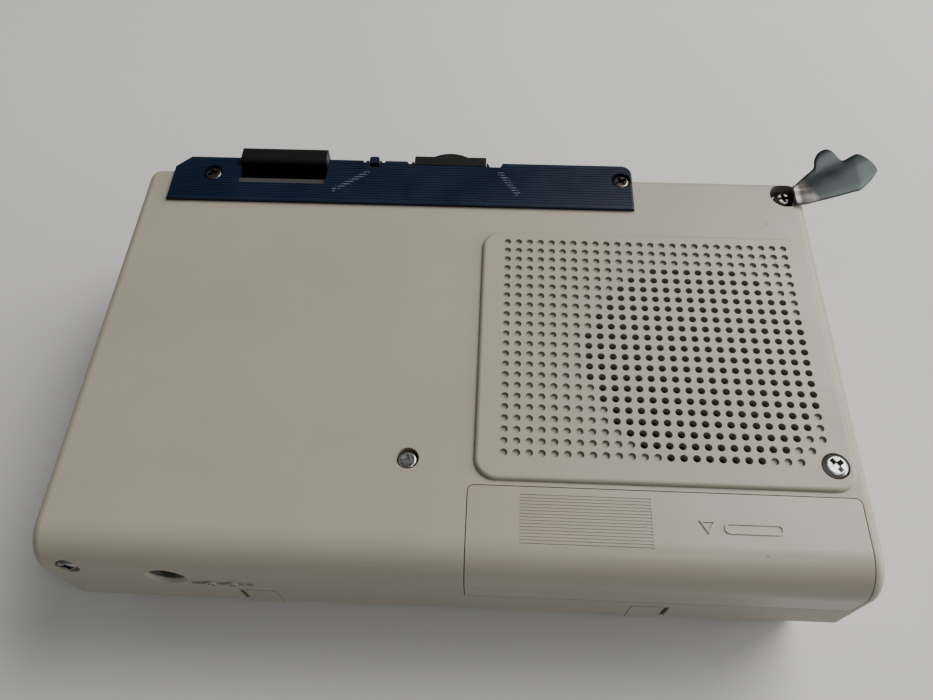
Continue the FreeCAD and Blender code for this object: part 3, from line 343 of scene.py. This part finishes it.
def board_material():
    """Green solder mask over copper areas, with small tinned pads."""
    g = Graph("board_green")
    tracks = g.cells(g.place((1, 1, 0)), 420.0, "DISTANCE_TO_EDGE")
    mask = g.between(tracks, 0.10, 0.16)
    tint = g.mix(mask, (0.010, 0.075, 0.035), (0.020, 0.150, 0.060))
    pads = specks(g, 2.7 * MM, 0.45 * MM, 0.6)
    g.colour(g.mix(pads, tint, (0.62, 0.60, 0.55)))
    g.set("Roughness", g.between(g.noise(g.place(), 90.0), 0.3, 0.7, 0.28, 0.40))
    g.set("Normal", g.bump(mask, 0.04 * MM))
    return g.material


def lamp_material():
    """Clear red plastic."""
    g = Graph("lamp_red")
    tone = g.noise(g.place(), 500.0, 2)
    g.colour(g.ramp(tone, [(0.3, (0.30, 0.006, 0.004)), (0.7, (0.45, 0.012, 0.008))]))
    g.set("Roughness", g.between(tone, 0.3, 0.7, 0.12, 0.22))
    g.set("Transmission Weight", 0.35)
    g.set("Normal", g.bump(tone, 0.02 * MM))
    return g.material


def rubber_material():
    """Matte black rubber with a fine grain."""
    g = Graph("rubber_black")
    fine = g.noise(g.place(), 1600.0, 4, 0.6)
    g.colour(g.ramp(fine, [(0.3, (0.010, 0.010, 0.010)), (0.8, (0.030, 0.030, 0.029))]))
    g.set("Roughness", g.between(fine, 0.3, 0.7, 0.62, 0.80))
    g.set("Normal", g.bump(fine, 0.04 * MM))
    return g.material


FAR_SCREWS_Y = (36 * MM, 40 * MM)
DULL_BROWN = (0.110, 0.100, 0.090)


def screw_material():
    """Plated screws, bright on the back and dulled to brown towards the far edge."""
    g = metal("bright_screw", (0.42, 0.43, 0.43), 0.24, tarnish=(0.15, 0.15, 0.145))
    base = g.shader.inputs["Base Color"].links[0].from_socket
    far = g.between(g.split(g.place())[1], *FAR_SCREWS_Y)
    g.colour(g.mix(far, base, DULL_BROWN))
    return g.material


# Turn and fade of the painted reflection of the beige case on the tab near its root.
TAB_REFLECTION_TURN, TAB_CASE_REFLECTION_FADE = -0.35, (92.5 * MM, 89.5 * MM)


def strap_material():
    """Dark polished steel with a lengthwise polish, and near its root a painted reflection of the beige case
    in warm streaks.
    """
    g = Graph("strap_steel")
    g.set("Metallic", 1.0)
    cloud = g.noise(g.place(turn=0.5), 160.0, 4, 0.55)
    tint = g.ramp(cloud, [(0.3, (0.023, 0.028, 0.029)), (0.72, (0.034, 0.040, 0.041))])
    lines = g.noise(g.place((3, 60, 3), -0.55), 60.0, 3)
    tint = g.mix(g.between(lines, 0.6, 0.8, 0, 0.25), tint, (0.055, 0.065, 0.067))
    # Painted reflection: the beige case colour is laid into the steel's colour near the root, broken into
    # streaks.
    case_reflection = g.between(g.split(g.place(turn=TAB_REFLECTION_TURN))[0], *TAB_CASE_REFLECTION_FADE)
    reflection_streak = g.between(g.noise(g.place((4, 90, 4), -0.6), 9.0, 2), 0.45, 0.62, 0.45, 1.0)
    g.colour(g.mix(g.maths("MULTIPLY", case_reflection, reflection_streak), tint, (0.30, 0.265, 0.245)))
    g.set("Roughness", g.between(cloud, 0.3, 0.75, 0.34, 0.46))
    g.set("Normal", g.bump(lines, 0.4 * GRAIN_DEPTH))
    return g.material


def make_materials():
    """One material for each of the record's slots."""
    return {
        "casing": moulded("casing", (0.303, 0.274, 0.219), 0.45, 0.035, 0.9, 0.35, 0.01).material,
        "casing_door": moulded("casing_door", (0.306, 0.273, 0.220), 0.31, 0.035, 0.6, 0.45, 0.01).material,
        "panel_blue": panel_material(),
        "black_plastic": moulded("black_plastic", (0.0035, 0.0034, 0.0033), 0.42, 0.25, 0.8, 0.2,
                                 gloss=0.22).material,
        "grey_plastic": moulded("grey_plastic", (0.036, 0.035, 0.034), 0.50, 0.12, 0.8, 0.3).material,
        "white_plastic": moulded("white_plastic", (0.72, 0.70, 0.65), 0.45, 0.03, 0.5).material,
        "bright_screw": screw_material(),
        "strap_metal": strap_material(),
        "plate_steel": metal("plate_steel", (0.50, 0.49, 0.46), 0.38, 0.5, 0.1, (0.36, 0.34, 0.30)).material,
        "turned_steel": metal("turned_steel", (0.62, 0.62, 0.61), 0.20, 0.2).material,
        "brass": metal("brass", (0.62, 0.42, 0.17), 0.28, 0.0, 0.0, (0.40, 0.25, 0.10)).material,
        "ferrite": metal("ferrite", (0.10, 0.10, 0.10), 0.55, grain=1.0).material,
        "rubber_black": rubber_material(),
        "board_green": board_material(),
        "component_black": moulded("component_black", (0.022, 0.022, 0.023), 0.38, 0.2, 0.8).material,
        "window_smoke": window_material(),
        "cone_paper": cone_material(),
        "lamp_red": lamp_material(),
    }


def slot_of_nodes():
    """The slot that each CAD node takes its finish from."""
    return {name: node.data.materials[0].name for name, node in NODES.items()}


def dress_nodes(materials, slots):
    """Gives every CAD node the material of its slot."""
    for name, node in NODES.items():
        for place in node.material_slots:
            place.link = "OBJECT"
            place.material = materials[slots[name]]


# ---- meshes for the pieces that stand for CAD nodes ----
def add_piece(name, mesh, body, slot, materials, smooth=True):
    """A new object that rides the body and takes its finish from the slot."""
    piece = bpy.data.objects.new(name, mesh)
    bpy.context.scene.collection.objects.link(piece)
    mesh.materials.append(materials[slot])
    if smooth:
        for face in mesh.polygons:
            face.use_smooth = True
    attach(piece, body)
    return piece


def grid_mesh(name, rows, closed_across=False, closed_along=False, caps=False):
    """A mesh over a grid of points, given as rows in metres."""
    count, width = len(rows), len(rows[0])
    verts = [p for row in rows for p in row]
    faces = []
    for i in range(count if closed_along else count - 1):
        for j in range(width if closed_across else width - 1):
            a, b = i * width + j, i * width + (j + 1) % width
            nxt = ((i + 1) % count) * width
            faces.append((a, b, nxt + (j + 1) % width, nxt + j))
    if caps:
        faces.append(tuple(reversed(range(width))))
        faces.append(tuple((count - 1) * width + j for j in range(width)))
    mesh = bpy.data.meshes.new(name)
    mesh.from_pydata(verts, [], faces)
    mesh.update()
    return mesh


def wire_mesh(name, line, radius, sides=8):
    """A round wire along a line of points in millimetres."""
    rows = []
    count = len(line)
    for k, point in enumerate(line):
        ahead = Vector(line[min(k + 1, count - 1)]) - Vector(line[max(k - 1, 0)])
        ahead.normalize()
        side = ahead.cross(Vector((0, 0, 1)))
        if side.length < 0.1:
            side = ahead.cross(Vector((1, 0, 0)))
        side.normalize()
        up = side.cross(ahead)
        ring = []
        for s in range(sides):
            turn = 2 * math.pi * s / sides
            ring.append((Vector(point) + (side * math.cos(turn) + up * math.sin(turn)) * radius) * MM)
        rows.append(ring)
    return grid_mesh(name, rows, closed_across=True, caps=True)


END_TURNS_CLOSER = 0.055


def helix(start, along, length, turns, start_r, end_r, steps=24):
    """Points of a coil along X or Y, in millimetres; its end turns lie closer together."""
    points = []
    count = int(turns * steps)
    for k in range(count + 1):
        t = k / count
        reach = length * (t - END_TURNS_CLOSER * math.sin(2 * math.pi * t))
        radius = start_r + (end_r - start_r) * t
        turn = 2 * math.pi * turns * t
        u, v = radius * math.cos(turn), radius * math.sin(turn)
        shift = (u, reach, v) if along == "Y" else (reach, u, v)
        points.append(tuple(a + b for a, b in zip(start, shift)))
    return points


def lathe_mesh(name, centre, profile, segments=96):
    """A closed ring of (radius, height) points, in millimetres, turned about a vertical axis."""
    rows = []
    for k in range(segments):
        turn = 2 * math.pi * k / segments
        c, s = math.cos(turn), math.sin(turn)
        rows.append([Vector((centre[0] + r * c, centre[1] + r * s, z)) * MM for r, z in profile])
    return grid_mesh(name, rows, closed_across=True, closed_along=True)


def spline(points, count):
    """Evenly spaced points on a smooth curve through the given points."""
    ends = [points[0]] + points + [points[-1]]
    fine = []
    steps = 12
    for k in range(len(points) - 1):
        p0, p1, p2, p3 = (Vector(p) for p in ends[k:k + 4])
        for i in range(steps):
            t = i / steps
            fine.append(0.5 * (2 * p1 + (p2 - p0) * t + (2 * p0 - 5 * p1 + 4 * p2 - p3) * t ** 2
                               + (3 * p1 - p0 - 3 * p2 + p3) * t ** 3))
    fine.append(Vector(points[-1]))
    lengths = [0.0]
    for a, b in zip(fine, fine[1:]):
        lengths.append(lengths[-1] + (b - a).length)
    made, at = [], 0
    for k in range(count):
        want = lengths[-1] * k / (count - 1)
        while at < len(fine) - 2 and lengths[at + 1] < want:
            at += 1
        share = (want - lengths[at]) / max(lengths[at + 1] - lengths[at], 1e-9)
        made.append(fine[at].lerp(fine[at + 1], min(share, 1.0)))
    return made


# ---- strap tab ----
TAB_UPPER = [(77.0, 46.6), (79.6, 49.2), (82.8, 52.3), (83.4, 54.8), (84.7, 57.1), (86.7, 58.2), (88.2, 57.2),
             (89.8, 54.6), (91.9, 55.6), (93.8, 56.6), (95.3, 55.6), (96.9, 52.9), (97.3, 50.8)]
TAB_LOWER = [(77.0, 41.4), (79.2, 41.2), (82.1, 41.8), (86.2, 42.9), (90.4, 44.2), (92.2, 44.8), (94.4, 46.9),
             (96.0, 48.8), (97.3, 50.8)]
TAB_THICK, TAB_RIM = 0.75, 0.225
TAB_LOW, TAB_CLIMB, TAB_CLIMB_X, TAB_CLIMB_RUN, TAB_CLIMB_BEND = 40.0, 1.55, 78.5, 14.0, 0.8
CREASE_SLOPE, CREASE_REACH, CREASE_DROP, CREASE_FADE = 0.10, 3.5, 0.05, 4.0
CREASE = ((77.4, 47.0), (89.8, 54.6))
CORNER_SCREW, FOLD_HALF_ANGLE = (75.3, 44.7), 50
# Sections of the fold and of the eye: radius from the corner screw, and height.
FOLD_LINE = [(2.45, 36.3), (2.55, 39.3), (3.1, 40.02), (3.2, 39.3), (3.2, 35.2), (2.6, 35.2)]
EYE_RING = [(1.4, 35.2), (3.2, 35.2), (3.2, 36.2), (3.1, 36.35), (1.5, 36.35), (1.4, 36.25)]


def tab_height(x, y):
    """Height of the tab's upper face: it climbs from the case, and is creased along its length."""
    climb = TAB_CLIMB * min(max((x - TAB_CLIMB_X) / TAB_CLIMB_RUN, 0.0), 1.0) ** TAB_CLIMB_BEND
    (ax, ay), (bx, by) = CREASE
    length = math.hypot(bx - ax, by - ay)
    aside = ((x - ax) * (by - ay) - (y - ay) * (bx - ax)) / length
    fade = min(max((x - TAB_UPPER[0][0]) / CREASE_FADE, 0.0), 1.0)
    fold = CREASE_SLOPE * min(abs(aside), CREASE_REACH) - CREASE_DROP
    return TAB_LOW + climb + fade * fold


def tab_blade_mesh(across=14, along=70):
    """The blade as a thin sheet, ruled between its two long edges, with rounded rims."""
    upper, lower = spline(TAB_UPPER, along), spline(TAB_LOWER, along)
    rows = []
    for u, v in zip(upper, lower):
        top, under = [], []
        for k in range(across + 1):
            share = 0.5 - 0.5 * math.cos(math.pi * k / across)
            flat = u.lerp(v, share)
            rim = TAB_RIM * abs(2 * share - 1) ** 12
            height = tab_height(flat.x, flat.y)
            top.append(Vector((flat.x, flat.y, height - rim)) * MM)
            under.append(Vector((flat.x, flat.y, height - TAB_THICK + rim)) * MM)
        rows.append(top + under[::-1])
    return grid_mesh("strap_tab_blade", rows[:-1], closed_across=True, caps=True)


def tab_fold_mesh(steps=20):
    """The fold that climbs out of the screw's recess to the blade."""
    rows = []
    for k in range(steps):
        turn = math.radians(FOLD_HALF_ANGLE * (2 * k / (steps - 1) - 1))
        c, s = math.cos(turn), math.sin(turn)
        rows.append([Vector((CORNER_SCREW[0] + r * c, CORNER_SCREW[1] + r * s, z)) * MM
                     for r, z in FOLD_LINE])
    return grid_mesh("strap_tab_fold", rows, closed_across=True, caps=True)


def make_strap_tab(materials):
    """Blade, fold, and the eye under the screw head."""
    blade = add_piece("strap_tab_blade", tab_blade_mesh(), "strap_tab", "strap_metal", materials)
    add_piece("strap_tab_fold", tab_fold_mesh(), "strap_tab", "strap_metal", materials)
    eye = lathe_mesh("strap_tab_eye", CORNER_SCREW, EYE_RING, 48)
    add_piece("strap_tab_eye", eye, "strap_tab", "strap_metal", materials)
    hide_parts("strap_tab")


# ---- springs ----
KEYS = {"pause": -62.0, "record": -47.5, "play": -12.0, "rewind": 2.0, "fast_forward": 16.0}
KEY_SPRING_Y, KEY_MIDDLE_Z = (42.15, 50.85), 11.5
KEY_SPRING_R, KEY_WIRE_R, KEY_SPRING_TURNS, KEY_SPRING_KEEP = 1.75, 0.18, 7, 0.65
BATTERY_SPRING_Y, BATTERY_SPRING_LONG = -37.15, 4.4
BATTERY_SPRING_R, BATTERY_WIRE_R, BATTERY_SPRING_TURNS = (4.2, 2.3), 0.28, 4.5
# Each battery spring: height, x of its wide end, and the way it points along X.
BATTERY_SPRINGS = {"lower_battery_spring": (15.3, 6.75, 1), "upper_battery_spring": (29.9, 65.25, -1)}


def make_key_springs(materials):
    """One coil behind each key, from the frame to the pocket in the key."""
    low, high = KEY_SPRING_Y
    for key, x in KEYS.items():
        coil = helix((x, low, KEY_MIDDLE_Z), "Y", high - low, KEY_SPRING_TURNS, KEY_SPRING_R, KEY_SPRING_R)
        mesh = wire_mesh(f"{key}_key_spring", coil, KEY_WIRE_R)
        spring = add_piece(f"{key}_key_spring", mesh, "case", "turned_steel", materials)
        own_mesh(spring)
    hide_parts("key_springs")


def make_battery_springs(materials):
    """A tapered coil at the negative end of each cell."""
    for name, (z, x, way) in BATTERY_SPRINGS.items():
        coil = helix((x, BATTERY_SPRING_Y, z), "X", BATTERY_SPRING_LONG * way, BATTERY_SPRING_TURNS,
                     *BATTERY_SPRING_R)
        mesh = wire_mesh(name, coil, BATTERY_WIRE_R)
        add_piece(name, mesh, "case", "turned_steel", materials)
    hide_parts("battery_springs")


# ---- speaker cone ----
SPEAKER_AT = (50.5, -2.4)
CONE_THROAT_R, CONE_EDGE_R, ROLL_WIDE = 6.8, 19.4, 3.2
CONE_LOW_Z, CONE_DEEP, PAPER_THICK = 28.9, 5.0, 0.35
CONE_RIBS, RIB_HIGH, ROLL_HIGH, ROLL_RISE = 5, 0.16, 0.95, 0.5
CAP_R, CAP_CENTRE_Z, CAP_FROM, CAP_TO, CAP_INNER, CAP_THICK = 9.0, 23.4, 2, 52, 0.97, 0.3
# Section of the voice coil and its former: radius and height.
VOICE_COIL_RING = [(4.95, 25.1), (5.2, 25.1), (5.2, 29.0), (7.0, 29.0), (7.0, 29.2), (4.95, 29.2)]


def cone_front():
    """Radius and height along the front of the ribbed skirt and the rolled edge."""
    skirt, roll = [], []
    steps = 60
    for k in range(steps + 1):
        t = k / steps
        rib = RIB_HIGH * math.sin(2 * math.pi * CONE_RIBS * t) * (1 - t)
        radius = CONE_THROAT_R + (CONE_EDGE_R - CONE_THROAT_R) * t
        skirt.append((radius, CONE_LOW_Z + CONE_DEEP * t ** 0.85 + rib))
    roll_steps = 12
    for k in range(1, roll_steps + 1):
        t = k / roll_steps
        height = CONE_LOW_Z + CONE_DEEP + ROLL_HIGH * math.sin(math.pi * t) + ROLL_RISE * t
        roll.append((CONE_EDGE_R + ROLL_WIDE * t, height))
    return skirt + roll


def make_speaker_cone(materials):
    """A pressed paper cone with a ribbed skirt and a rolled edge, a voice coil and a dust cap."""
    front = cone_front()
    profile = front + [(r, z - PAPER_THICK) for r, z in reversed(front)]
    cone = add_piece("speaker_cone_paper", lathe_mesh("speaker_cone_paper", SPEAKER_AT, profile), "case",
                     "cone_paper", materials)
    cap = []
    steps = 16
    for k in range(steps + 1):
        turn = math.radians(CAP_FROM + (CAP_TO - CAP_FROM) * k / steps)
        cap.append((CAP_R * math.sin(turn), CAP_CENTRE_Z + CAP_R * math.cos(turn)))
    rings = cap + [(r * CAP_INNER, z - CAP_THICK) for r, z in reversed(cap)]
    add_piece("speaker_dust_cap", lathe_mesh("speaker_dust_cap", SPEAKER_AT, rings), "case", "cone_paper",
              materials)
    coil = lathe_mesh("speaker_voice_coil", SPEAKER_AT, VOICE_COIL_RING)
    add_piece("speaker_voice_coil", coil, "case", "cone_paper", materials, smooth=False)
    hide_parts("speaker_cone")


make_camera()
make_light()
make_floor()
slots = slot_of_nodes()
materials = make_materials()
dress_nodes(materials, slots)
make_strap_tab(materials)
make_key_springs(materials)
make_battery_springs(materials)
make_speaker_cone(materials)
